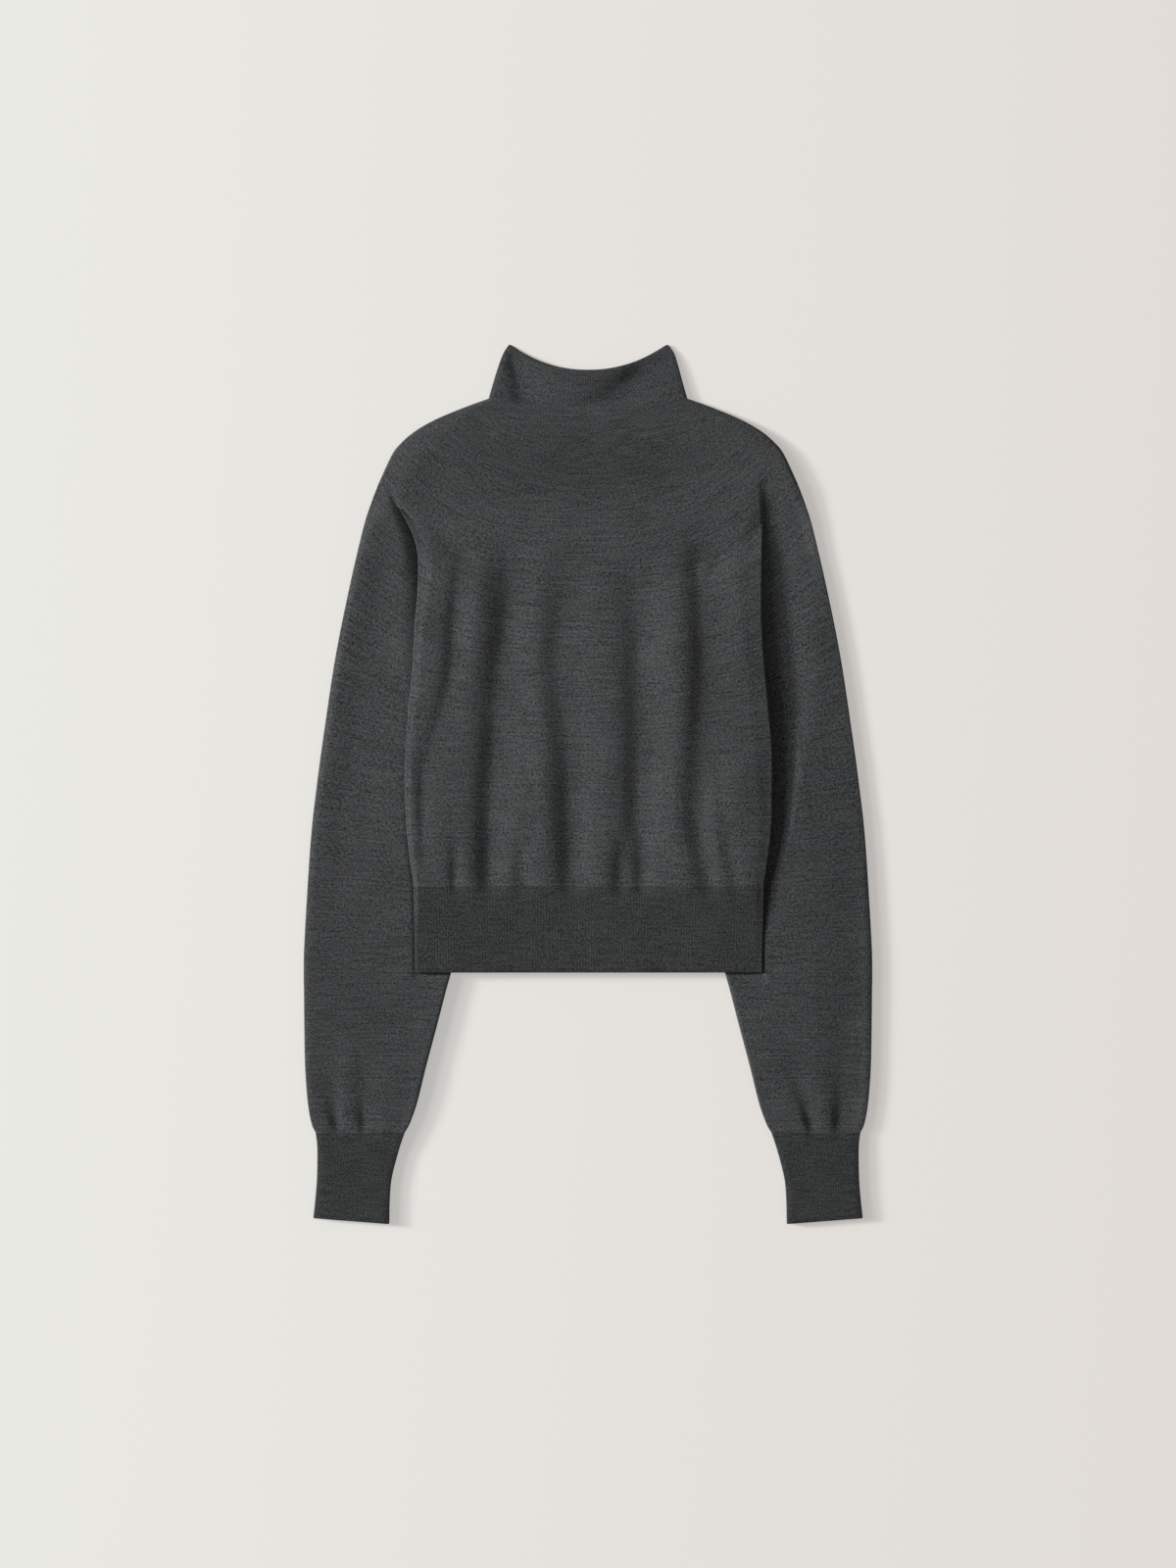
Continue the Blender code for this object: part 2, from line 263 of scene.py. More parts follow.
def sectionLines(table, side):
    table = np.asarray(table)
    first = cut["sleeve"][0]

    def place(share):
        x = blend(table[:, 0:1], table[:, 2:3], share)
        y = blend(table[:, 1:2], table[:, 3:4], share)
        seamX = blend(first[0], first[2], share)
        chordY = blend(first[1], first[3], share)
        return side * x, y + table[:, 4:5] * (yokeCourseY(seamX) - chordY)

    return place


def halfTube(place, rows, columns, low, top, sign, depth, pinches=knit["pinches"]):
    # one side of a flattened tube, from fold to fold, with a rounded quarter at each
    firstPinch, refinements = 0.0015, 3
    mostInside, mostAcross = 0.85, 0.7      # an inner wall stops short of the fold's middle
    steps = knit["foldSteps"]
    zero = np.zeros((rows, 1))
    (x0, y0), (x1, y1) = place(zero), place(zero + 1.0)
    width = np.hypot(x1 - x0, y1 - y0)
    turns = np.arange(steps) / steps * math.pi / 2

    def fold(atEnd):
        pinch = firstPinch + zero
        for _ in range(refinements):
            guess = pinch / width
            x, y = place(1.0 - guess if atEnd else guess)
            bottom, crest = low(x, y, pinch), top(x, y, pinch)
            radius, middle = (crest - bottom) / 2, (crest + bottom) / 2
            pinch = radius * pinches[atEnd]
        inside = np.minimum(depth, mostInside * radius)
        insideAcross = np.minimum(depth, mostAcross * pinch)
        inset = insideAcross + (pinch - insideAcross) * (1.0 - np.cos(turns))
        share = 1.0 - inset / width if atEnd else inset / width
        x, y = place(share)
        return x, y, middle + sign * (radius - inside) * np.sin(turns), pinch / width

    leftX, leftY, leftZ, start = fold(False)
    rightX, rightY, rightZ, end = fold(True)
    shares = start + (1.0 - start - end) * columns
    x, y = place(shares)
    near = np.minimum(shares, 1.0 - shares) * width
    z = top(x, y, near) - depth if sign > 0 else low(x, y, near) + depth
    xs = np.hstack([leftX, x, rightX[:, ::-1]])
    ys = np.hstack([leftY, y, rightY[:, ::-1]])
    zs = np.hstack([leftZ, z, rightZ[:, ::-1]])
    return np.stack([xs, ys, zs], axis=-1)


def level(height):
    return lambda x, y, near: np.full(x.shape, height)


def wholeTube(place, rows, upper, lower, low, top, depth, pinches):
    front = halfTube(place, rows, upper, low, top, 1, depth, pinches)
    back = halfTube(place, rows, lower, low, top, -1, depth, pinches)
    return np.concatenate([front, back[:, -2:0:-1]], axis=1)


def rimRow(outer, inner):
    # the rounded middle of a free edge, along the grids' last rows
    bulge = 0.4      # how far it stands out, in walls
    out = outer[-1] - outer[-2]
    out = out / np.maximum(np.linalg.norm(out, axis=1, keepdims=True), 1e-9)
    thick = np.linalg.norm(outer[-1] - inner[-1], axis=1, keepdims=True)
    return (outer[-1] + inner[-1]) / 2 + out * thick * bulge


def addObject(name, data):
    added = bpy.data.objects.new(name, data)
    bpy.context.scene.collection.objects.link(added)
    return added


def shell(name, outer, inner, stitches, closed, flipped, freeEnd=False):
    # outer and inner grids joined into one thin closed wall; stitches holds the knit's own coordinates
    rows, size = outer.shape[:2]
    r, c = np.meshgrid(np.arange(rows - 1), np.arange(size if closed else size - 1), indexing="ij")
    r, c = r.ravel(), c.ravel()
    around = (c + 1) % size
    quads = np.stack([r * size + c, r * size + around, (r + 1) * size + around, (r + 1) * size + c], axis=1)
    wide = stitches.shape[1]
    marks = np.stack([r * wide + c, r * wide + c + 1, (r + 1) * wide + c + 1, (r + 1) * wide + c], axis=1)
    points = [outer.reshape(-1, 3), inner.reshape(-1, 3)]
    faces = [quads, quads[:, ::-1] + rows * size]
    places = [marks, marks[:, ::-1]]
    first, last = np.arange(size), (rows - 1) * size + np.arange(size)
    if closed:
        rims = [(np.append(first, first[0]), False), (np.append(last[::-1], last[-1]), freeEnd)]
    else:
        right, left = np.arange(rows) * size + size - 1, np.arange(rows) * size
        rims = [(np.concatenate([first, right[1:], last[-2::-1], left[-2::-1]]), False)]
    for rim, free in rims:
        a, b = rim[:-1], rim[1:]
        mark = [(edge // size) * wide + edge % size for edge in (b, a, a, b)]
        if free:
            middle = sum(len(block) for block in points) + rim % size
            points.append(rimRow(outer, inner))
            faces.append(np.stack([b, a, middle[:-1], middle[1:]], axis=1))
            faces.append(np.stack([middle[1:], middle[:-1], a + rows * size, b + rows * size], axis=1))
            places += [np.stack(mark, axis=1)] * 2
        else:
            faces.append(np.stack([b, a, a + rows * size, b + rows * size], axis=1))
            places.append(np.stack(mark, axis=1))
    faces, places = np.concatenate(faces), np.concatenate(places)
    if flipped:
        faces, places = faces[:, ::-1], places[:, ::-1]
    mesh = bpy.data.meshes.new(name)
    mesh.from_pydata(np.concatenate(points).tolist(), [], faces.tolist())
    layer = mesh.uv_layers.new(name="Stitches")
    layer.data.foreach_set("uv", stitches.reshape(-1, 2)[places.ravel()].astype(np.float32).ravel())
    mesh.shade_smooth()
    mesh.set_sharp_from_angle(angle=knit["sharpAngle"])
    return addObject(name, mesh)


def stitchMarks(grid, waleCount, courseY, closed):
    # stitch numbers over a grid: columns share the wales out evenly, from the first column of a tube or
    # from the middle of an open panel, and rows count courses
    if closed:
        grid = np.concatenate([grid, grid[:, :1]], axis=1)
    steps = np.linalg.norm(np.diff(grid, axis=1), axis=2)
    run = np.concatenate([np.zeros((len(grid), 1)), np.cumsum(steps, axis=1)], axis=1)
    wales = (run / run[:, -1:] - (0.0 if closed else 0.5)) * waleCount
    courses = np.repeat(courseY[:, None] / knit["course"], grid.shape[1], axis=1)
    return np.stack([wales, courses], axis=-1)


def dress(piece, material, node):
    piece.data.materials.append(material)
    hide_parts(node)
    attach(piece, "root")
    return piece


def meshArea(piece):
    # one face of the wall, which has two
    return sum(face.area for face in piece.data.polygons) / 2


# Materials

yarn = {
    # the V of a loop: how narrow its legs are, how far they slant, and how deep it dips between courses
    "legNarrowing": 3.2, "legSlant": 1.3, "loopDip": 1.2,
    # grain, patches and colour cast are noises by the metre, fibres and streaks by the stitch
    "grainScale": 800.0, "grainRoughness": 0.6, "patchScale": 28.0, "castScale": 330.0, "cast": 0.62,
    "fibreStretch": (0.90, 0.80, 1.0), "streakStretch": (0.055, 0.80, 1.0),
    "fuzz": 0.6,             # height of the pale fibres for that of the loops
}


def feed(tree, node, values):
    # inputs by name or number: another node's output is linked, and any other value is set
    for label, value in values.items():
        if isinstance(value, bpy.types.NodeSocket):
            tree.links.new(value, node.inputs[label])
        else:
            node.inputs[label].default_value = value
    return node


def newGroup(name, inputs, outputs):
    group = bpy.data.node_groups.new(name, "ShaderNodeTree")
    for label, kind, value in inputs:
        socket = group.interface.new_socket(label, in_out="INPUT", socket_type="NodeSocket" + kind)
        if value is not None:
            socket.default_value = value
    for label, kind in outputs:
        group.interface.new_socket(label, in_out="OUTPUT", socket_type="NodeSocket" + kind)
    return group, group.nodes.new("NodeGroupInput").outputs, group.nodes.new("NodeGroupOutput")


def mathNode(tree, operation, first, second=0.0, clamp=False):
    node = tree.nodes.new("ShaderNodeMath")
    node.operation = operation
    node.use_clamp = clamp
    return feed(tree, node, {0: first, 1: second}).outputs[0]


def vectorNode(tree, operation, values):
    node = tree.nodes.new("ShaderNodeVectorMath")
    node.operation = operation
    return feed(tree, node, values)


def scaled(tree, vector, factors):
    return vectorNode(tree, "MULTIPLY", {0: vector, 1: factors}).outputs[0]


def noiseNode(tree, vector, scale, detail, roughness=0.5):
    node = tree.nodes.new("ShaderNodeTexNoise")
    feed(tree, node, {"Vector": vector, "Scale": scale, "Detail": detail, "Roughness": roughness})
    return node.outputs["Fac"]


def mixNode(tree, share, first, second):
    node = tree.nodes.new("ShaderNodeMix")
    node.data_type = "RGBA"
    return feed(tree, node, {"Factor": share, "A": first, "B": second}).outputs["Result"]


def groupNode(tree, group, values):
    node = tree.nodes.new("ShaderNodeGroup")
    node.node_tree = group
    return feed(tree, node, values).outputs


def stitchGroup():
    # the V-shaped loops of plain knit, from stitch numbers
    group, entry, leave = newGroup("knitLoops", [("Stitches", "Vector", None)], [("Height", "Float")])
    split = feed(group, group.nodes.new("ShaderNodeSeparateXYZ"), {0: entry["Stitches"]}).outputs
    wale = mathNode(group, "FRACT", split["X"])
    side = mathNode(group, "ABSOLUTE", mathNode(group, "SUBTRACT", wale, 0.5))
    leg = mathNode(group, "ABSOLUTE", mathNode(group, "SUBTRACT", side, 0.25))
    narrowed = mathNode(group, "MULTIPLY", leg, yarn["legNarrowing"])
    ridge = mathNode(group, "SUBTRACT", 1.0, narrowed, clamp=True)
    slant = mathNode(group, "ADD", split["Y"], mathNode(group, "MULTIPLY", side, yarn["legSlant"]))
    loop = mathNode(group, "ABSOLUTE", mathNode(group, "SUBTRACT", mathNode(group, "FRACT", slant), 0.5))
    bulge = mathNode(group, "SUBTRACT", 1.0, mathNode(group, "MULTIPLY", loop, yarn["loopDip"]))
    feed(group, leave, {"Height": mathNode(group, "MULTIPLY", ridge, bulge)})
    return group


def marlGroup():
    # dark and pale fibres spun together: single stitches, long faint streaks along the courses, slow
    # patches, and a faint colour cast
    inputs = [
        ("Stitches", "Vector", None), ("Dark", "Color", (0.03, 0.03, 0.03, 1)),
        ("Pale", "Color", (0.09, 0.09, 0.09, 1)), ("Grain", "Float", 0.5), ("Streaks", "Float", 0.5),
        ("Patches", "Float", 0.3),
    ]
    group, entry, leave = newGroup("marlYarn", inputs, [("Color", "Color"), ("Tone", "Float")])
    stitches = entry["Stitches"]
    place = group.nodes.new("ShaderNodeTexCoord").outputs["Object"]
    grain = noiseNode(group, place, yarn["grainScale"], 1.0, yarn["grainRoughness"])
    fibre = noiseNode(group, scaled(group, stitches, yarn["fibreStretch"]), 1.0, 1.0)
    streak = noiseNode(group, scaled(group, stitches, yarn["streakStretch"]), 1.0, 1.5)
    patch = noiseNode(group, place, yarn["patchScale"], 2.0)

    def spread(value, weight):
        return mathNode(group, "MULTIPLY", mathNode(group, "SUBTRACT", value, 0.5), weight)

    total = mathNode(group, "ADD", 0.5, spread(grain, entry["Grain"]))
    total = mathNode(group, "ADD", total, spread(fibre, entry["Grain"]))
    total = mathNode(group, "ADD", total, spread(streak, entry["Streaks"]))
    total = mathNode(group, "ADD", total, spread(patch, entry["Patches"]), clamp=True)
    mixed = mixNode(group, total, entry["Dark"], entry["Pale"])
    blue = spread(noiseNode(group, place, yarn["castScale"], 1.0), yarn["cast"])
    cast = group.nodes.new("ShaderNodeCombineXYZ")
    feed(group, cast, {"X": 1.0, "Y": 1.0, "Z": mathNode(group, "ADD", 1.0, blue)})
    tinted = vectorNode(group, "MULTIPLY", {0: mixed, 1: cast.outputs[0]})
    feed(group, leave, {"Color": tinted.outputs[0], "Tone": total})
    return group


def paintedShadeGroup():
    # painted shade: broad soft ellipses that darken the cloth's colour where shading is wanted; x, y, radii
    # and strength of each
    inputs = [("Color", "Color", (0.05, 0.05, 0.05, 1))]
    group, entry, leave = newGroup("paintedSoftShades", inputs, [("Color", "Color")])
    place = group.nodes.new("ShaderNodeTexCoord").outputs["Object"]
    total = None
    for x, y, wide, tall, strength in wool["paintedShades"]:
        away = vectorNode(group, "SUBTRACT", {0: place, 1: (x, y, 0.0)}).outputs[0]
        size = vectorNode(group, "LENGTH", {0: scaled(group, away, (1.0 / wide, 1.0 / tall, 0.0))})
        fade = group.nodes.new("ShaderNodeMapRange")
        fade.interpolation_type = "SMOOTHSTEP"
        feed(group, fade, {"To Min": 1.0 - strength, "To Max": 1.0, "Value": size.outputs["Value"]})
        shade = fade.outputs["Result"]
        total = shade if total is None else mathNode(group, "MULTIPLY", total, shade)
    tinted = vectorNode(group, "SCALE", {0: entry["Color"], "Scale": total})
    feed(group, leave, {"Color": tinted.outputs[0]})
    return group


wool = {
    "roughness": 0.92, "specular": 0.25, "sheenRoughness": 0.45, "sheenTint": (0.95, 0.97, 1.0, 1),
    # painted shade over the yoke's middle, both lower sleeves, the front beside the wearer's left side, the
    # collar's dent and two front folds
    "paintedShades": [
        (0.0, 0.2770, 0.165, 0.056, 0.28), (0.215, -0.130, 0.09, 0.42, 0.165),
        (-0.215, -0.160, 0.09, 0.33, 0.10), (0.130, 0.010, 0.058, 0.21, 0.20),
        (0.026, 0.3500, 0.034, 0.020, 0.15), (0.104, 0.110, 0.052, 0.150, 0.18),
        (0.036, -0.070, 0.036, 0.034, 0.14), (-0.182, -0.215, 0.055, 0.130, 0.12),
    ],
    "plain": {
        "dark": (0.0113, 0.0121, 0.0124, 1), "pale": (0.0775, 0.0815, 0.0845, 1),
        "grain": 1.60, "streaks": 0.88, "patches": 0.27, "bump": 0.00030, "sheen": 0.08,
    },
    "rib": {
        "dark": (0.0087, 0.0093, 0.0092, 1), "pale": (0.0508, 0.0550, 0.0546, 1),
        "grain": 1.85, "streaks": 0.90, "patches": 0.30, "bump": 0.00017, "sheen": 0.06,
    },
    "collar": {
        "dark": (0.0112, 0.0120, 0.0124, 1), "pale": (0.0684, 0.0720, 0.0755, 1),
        "grain": 1.60, "streaks": 0.7, "patches": 0.30, "bump": 0.00025, "sheen": 0.08,
    },
}


def woolMaterial(name, look):
    material = bpy.data.materials.new(name)
    material.use_nodes = True
    tree = material.node_tree
    marks = tree.nodes.new("ShaderNodeUVMap")
    marks.uv_map = "Stitches"
    stitches = marks.outputs["UV"]
    fibres = {label: look[label.lower()] for label in ("Dark", "Pale", "Grain", "Streaks", "Patches")}
    spun = groupNode(tree, marl, {"Stitches": stitches, **fibres})
    # painted shade laid over the yarn's colour
    withPaintedShade = groupNode(tree, paintedShades, {"Color": spun["Color"]})
    knitted = groupNode(tree, loops, {"Stitches": stitches})
    fuzz = mathNode(tree, "MULTIPLY", spun["Tone"], yarn["fuzz"])
    relief = mathNode(tree, "ADD", knitted["Height"], fuzz)
    bump = tree.nodes.new("ShaderNodeBump")
    feed(tree, bump, {"Strength": 1.0, "Distance": look["bump"], "Height": relief})
    feed(tree, tree.nodes["Principled BSDF"], {
        "Base Color": withPaintedShade["Color"], "Normal": bump.outputs["Normal"], "Roughness": wool["roughness"],
        "Specular IOR Level": wool["specular"], "Sheen Weight": look["sheen"],
        "Sheen Roughness": wool["sheenRoughness"], "Sheen Tint": wool["sheenTint"],
    })
    return material


loops, marl, paintedShades = stitchGroup(), marlGroup(), paintedShadeGroup()
plainWool = woolMaterial("plainWool", wool["plain"])
ribWool = woolMaterial("ribWool", wool["rib"])
collarWool = woolMaterial("collarWool", wool["collar"])
print("wool ready")


# Heights of the layers

uneven = ripples(7, 26, 0.018, 0.110)

torso = {
    "middle": 0.0120,        # crests of the front where nothing lies below it
    "armhole": 0.0080,
    "settling": 0.085,       # the run from the yoke's edge to the full heights
    "dishStart": 0.052, "dishEnd": 0.014,
    "climbStart": 0.024, "climbEnd": 0.002,
    "levelRun": (-0.004, 0.026),    # below the yoke's edge, the run to the level beside the side folds
    "undersideRun": (0.003, 0.016),  # from a side fold inwards, how a raised underside comes down
    "uneven": 0.00022,
    "layerGap": 0.0003,
    # y, level beside the edge, how far the edge falls, over what width, and how thick the fold is
    "rightEdge": [
        (-164, 10.5, 0.4, 2.4, 3.3), (-128, 11.1, 0.9, 2.6, 3.5), (-88, 12.6, 1.6, 4.5, 3.8),
        (34, 13.0, 1.5, 7, 3.8), (100, 13.0, 1.6, 8, 3.8), (140, 12.6, 2.0, 10, 3.6),
        (170, 11.8, 2.8, 13, 3.4), (190, 10.8, 3.4, 15, 3.0), (208, 9.8, 3.4, 15, 2.6),
        (221, 9.0, 2.2, 13, 2.4), (230, 8.4, 1.4, 11, 2.0), (238, 8.0, 0.9, 10, 1.8),
        (246, 8.0, 0.4, 9, 1.6), (256, 8.0, 0, 9, 1.6),
    ],
    "leftEdge": [
        (-164, 9.2, 0.2, 7, 3.3), (-128, 10.0, 0.6, 7, 3.4), (-88, 12.8, 1.2, 10, 3.8),
        (-34, 14.8, 1.7, 14, 3.8), (34, 15.2, 1.9, 17, 3.8), (102, 15.5, 2.1, 18, 3.8),
        (136, 15.0, 2.3, 20, 3.6), (170, 13.6, 2.4, 23, 3.4), (193, 12.4, 2.3, 25, 3.0),
        (211, 11.2, 2.5, 20, 2.4), (225, 9.9, 1.9, 15, 2.0), (240, 8.5, 0.8, 11, 1.6),
        (256, 8.0, 0, 8, 1.6),
    ],
}

# Long folds down the front, then the small gathers above the hem band: y, x, depth, left, right
frontFolds = foldLines([
    [(-34, -143, 0, 8, 18), (0, -141, 0.8, 8, 21), (34, -135, 1.4, 8, 22), (68, -124, 2.1, 8, 15),
     (102, -117, 2.8, 8, 11), (136, -115.5, 2.8, 8, 12), (176, -112, 1.8, 7, 14), (204, -110, 0, 6, 12)],
    [(-80, -143, 0, 4, 7), (-60, -143, 0.6, 4, 7), (-34, -143, 1.2, 4, 7), (0, -143, 0.9, 4, 8),
     (34, -142, 0, 5, 10)],
    [(-108, -85, 0, 8, 10), (-96, -84.5, 0.6, 8, 10), (-84, -85.6, 4.2, 10, 14), (-40, -85.2, 4.6, 11, 19),
     (0, -83.5, 4.8, 12.5, 25), (34, -80, 4.9, 13, 27), (68, -77, 5.2, 16, 28), (102, -75, 5.0, 13.5, 23),
     (136, -71, 4.3, 13, 19), (176, -67, 2.6, 13, 17), (212, -66, 0, 12, 16)],
    [(-106, -15.5, 0, 8, 11), (-96, -15.5, 0.6, 8, 12), (-84, -15.5, 3.4, 10, 16), (-60, -15, 4.1, 11, 18),
     (-20, -15, 4.0, 11, 19), (20, -15.5, 3.7, 12, 21), (60, -18.5, 3.4, 13, 24), (100, -24.5, 3.6, 14, 27),
     (130, -24, 3.0, 13, 24), (165, -19, 1.5, 12, 17), (200, -16, 0, 12, 16)],
    [(-98, 45, 0, 20, 24), (-86, 45, 2.2, 20, 26), (-62, 45, 3.7, 18, 26), (-40, 43.5, 4.4, 13, 24),
     (0, 45.8, 5.0, 14, 28), (50, 46, 4.9, 14.5, 30), (102, 45.2, 4.4, 14, 26), (136, 44.8, 3.2, 14, 25),
     (165, 42.5, 2.1, 14, 24), (205, 42, 0, 14, 22)],
    [(-108, 104.5, 0, 8, 9), (-96, 104.5, 0.8, 8, 9), (-84, 104.3, 3.8, 11, 12), (-64, 100.7, 4.3, 12, 12),
     (-34, 96.5, 5.8, 13.5, 14), (0, 97.0, 6.3, 14.5, 18), (34, 98.6, 6.4, 14.5, 32),
     (60, 100.3, 6.4, 14.5, 32), (102, 102.4, 6.2, 14.5, 25), (136, 100.8, 6.4, 14, 27),
     (170, 99.8, 6.4, 14, 28), (200, 98.6, 3.2, 14, 28), (226, 98, 0, 13, 24)],
    [(-104, 128, 0, 7, 8), (-84, 126, 1.9, 8, 8), (-62, 122.5, 2.3, 8, 9), (-34, 117.5, 2.1, 8, 11),
     (0, 116.5, 1.3, 8, 13), (32, 117, 0, 8, 14)],
    [(-100, -115, 0, 5, 6), (-84, -115, 1.7, 5, 6), (-65, -115, 1.4, 5, 6), (-38, -115, 0, 5, 6)],
    [(-100, -58, 0, 7, 8), (-84, -58, 1.8, 7, 9), (-70, -58, 1.6, 7, 9), (-42, -58, 0, 6, 8)],
    [(-102, 27.5, 0, 6, 7), (-84, 27.5, 2.1, 7, 7), (-60, 28, 1.3, 7, 7), (-36, 29, 0, 6, 7)],
    [(-102, 46.5, 0, 6, 9), (-84, 46.5, 2.1, 6.5, 9), (-60, 46.5, 1.6, 6.5, 9), (-36, 47, 0, 6, 9)],
    [(234, -93, 0, 9, 9), (208, -94, -0.5, 10, 10), (176, -95, -1.0, 10, 10), (136, -97, -0.5, 10, 10),
     (102, -98, 0, 10, 10)],
    [(216, -28, 0, 22, 16), (202, -30, -0.7, 20, 14), (176, -40, -0.5, 14, 10), (136, -42, -0.3, 12, 10),
     (100, -42, -0.3, 12, 10), (68, -40, -0.8, 11, 8), (0, -38, -1.2, 11, 8), (-40, -37, -1.0, 10, 8),
     (-72, -37, -0.4, 10, 8), (-88, -37, 0, 10, 8)],
    [(10, 7, 0, 12, 12), (-30, 7, -0.5, 12, 12), (-62, 6, -0.3, 12, 12), (-88, 5, 0, 12, 12)],
])

arms = {
    "sleeve": 0.0077, "wrist": 0.0070,
    "wristRun": 0.06,         # the run above the wrist over which the sleeve comes down to it
    # heights of the folds and how far in they are rounded. Pairs hold the wearer's right, then the left
    "shoulderFold": (0.0045, 0.0070), "shoulderRound": (0.024, 0.006),
    "shoulderRun": (0.262, 0.200),   # the y between which the shoulder's fold turns into the outer one
    "outerFold": (0.0064, 0.0052), "foldRound": 0.0060,
    "innerFold": 0.0070, "innerRound": 0.0030,
    "innerRun": (0.020, 0.040),      # from the outer fold, where the inner one's values take over
    "pinches": (0.34, 0.30),   # widths of the outer and the inner fold for their height
    "gatherSettles": 0.010,    # how far in from a fold the gathers reach their full depth
    "unevenness": 1.2, "unevenShift": 0.7,
    "pressed": 0.0040, "pressedAtArmhole": 0.0027,
    "pressedRun": 0.012,      # how far under the body the sleeve keeps some height
    "wellInside": 0.05,       # a distance from the folds at which their rounding has ended
    "pressedPastHem": -0.0018, "puffedPastHem": 0.0022,
    # distance from the outer fold, and how far the top stands over or under its level
    "rightSlope": [
        (-5, -1.0), (0, -0.2), (6, 0.5), (14, 0.25), (28, -0.7), (46, -0.4), (75, 0.5), (200, 0.5),
    ],
    "leftSlope": [(-5, -2.9), (0, -2.6), (8, -2.0), (25, -0.9), (45, 0.2), (62, 0.6), (200, 0.6)],
    # y, how far the top dips beside the body, over what flat width, and the width that it rises over
    "rightBank": [
        (-196, 0, 0, 3), (-180, 0, 0, 3), (-170, 0.3, 0, 2.4), (-160, 1.1, 0, 2.0), (-128, 1.1, 0, 2.0),
        (-88, 1.0, 0, 2.6), (-30, 0.5, 0, 4), (34, 0.2, 0, 5), (80, 0.2, 0, 6),
        (100, 0.7, 0, 8), (118, 1.3, 0, 10), (136, 2.0, 0, 11), (153, 2.9, 0, 13), (170, 3.9, 0, 14.5),
        (187, 4.8, 0, 14.5), (204, 5.1, 0, 13.5), (221, 4.7, 0, 12), (234, 3.6, 0, 10), (245, 2.1, 0, 9),
        (254, 0.9, 0, 8), (262, 0, 0, 8),
    ],
    "leftBank": [
        (-184, 0, 0.3, 3), (-174, 0, 0.2, 3), (-162, 2.3, 0, 2.3), (-128, 2.5, 0, 2.5),
        (-100, 2.6, 0.6, 6), (-70, 3.5, 4, 9), (-34, 3.9, 7, 12), (0, 3.9, 9, 17), (34, 3.9, 10, 24),
        (68, 4.2, 14, 30), (102, 4.3, 17, 34), (136, 4.2, 15.5, 36), (153, 4.0, 14, 40), (170, 3.8, 13, 41),
        (187, 3.8, 12.5, 41), (204, 4.5, 12.5, 40), (222, 4.7, 12, 39), (234, 4.2, 11, 37),
        (242, 3.5, 9, 36), (250, 2.6, 7, 32), (258, 1.5, 5, 26), (267, 0.6, 4, 20), (275, 0, 3, 16),
    ],
    "bankCurve": 1.6,                # the wearer's right bank falls to the body's side as this power
    "slopeSettling": (0.085, 0.045),
    "slopeFade": (0.85, 0.45), "slopeFadeRun": (-0.02, -0.11),   # how much of the slope is lost down the arm
}

# Gathers above the cuffs, and a fall towards the left sleeve's outer fold: y, x, depth, left, right
armFolds = foldLines([
    [(-306, -217, 0, 7, 5), (-299, -217, 1.5, 5, 5), (-292, -218, 2.6, 6, 5), (-278, -220, 2.1, 9, 6),
     (-258, -220.5, 1.4, 14, 8), (-235, -220, 0.7, 20, 9), (-200, -220, 0, 18, 10)],
    [(-306, -194, 0, 4, 7), (-299, -194, 1.4, 4, 7), (-291, -194, 2.2, 5, 8), (-278, -194.5, 1.7, 6, 10),
     (-250, -195, 0.7, 8, 12), (-215, -195, 0, 8, 12)],
    [(-306, -184, 0, 3, 4), (-298, -184, 0.6, 3, 4), (-284, -184, 0, 3, 4)],
    [(-306, -158, 0, 10, 4), (-295, -158, 0.7, 13, 4), (-270, -155, 0.5, 13, 4), (-235, -150, 0, 12, 4)],
    [(-306, 194, 0, 4, 7), (-300, 193.5, 1.5, 4, 7), (-292, 192, 2.6, 5, 8), (-278, 188.5, 2.1, 6, 10),
     (-258, 183.5, 1.3, 9, 13), (-235, 179, 0.8, 12, 16), (-195, 174, 0, 14, 18)],
    [(-306, 217, 0, 4, 10), (-299, 217, 1.7, 5, 16), (-290, 218, 2.7, 6, 20), (-276, 220, 2.3, 8, 24),
     (-258, 222, 1.9, 11, 24), (-212, 227, 1.3, 18, 20), (-170, 228, 1.1, 22, 18), (-120, 226, 0.8, 22, 16),
     (-60, 222, 0, 20, 14)],
    [(140, 212, 0, 13, 20), (165, 208, 0.4, 14, 20), (190, 203, 1.0, 15, 20), (212, 198, 1.3, 15, 20),
     (232, 192, 1.1, 14, 20), (246, 188, 0.5, 13, 20), (256, 185, 0, 12, 20)],
])

readEdge = [smoothTable(torso[name]) for name in ("rightEdge", "leftEdge")]
readBank = [smoothTable(arms[name]) for name in ("rightBank", "leftBank")]
readSlope = [smoothTable(arms[name]) for name in ("rightSlope", "leftSlope")]


def edgeValue(x, y, column):
    return bySide(x, *(read(y, column) for read in readEdge))


def edgeFall(x, y, inside):
    fall, run = (edgeValue(x, y, column) for column in (2, 3))
    return np.maximum(fall, 0.0) * (1.0 - smoothStep(inside, 0.0, run))


def bankDip(x, y, outside):
    dip, flat, rise = (bySide(x, *(read(y, column) for read in readBank)) for column in (1, 2, 3))
    share = np.clip((outside - flat) / rise, 0.0, 1.0)
    kept = bySide(x, (1.0 - share) ** arms["bankCurve"], 1.0 - smoothStep(share, 0.0, 1.0))
    return np.maximum(dip, 0.0) * kept


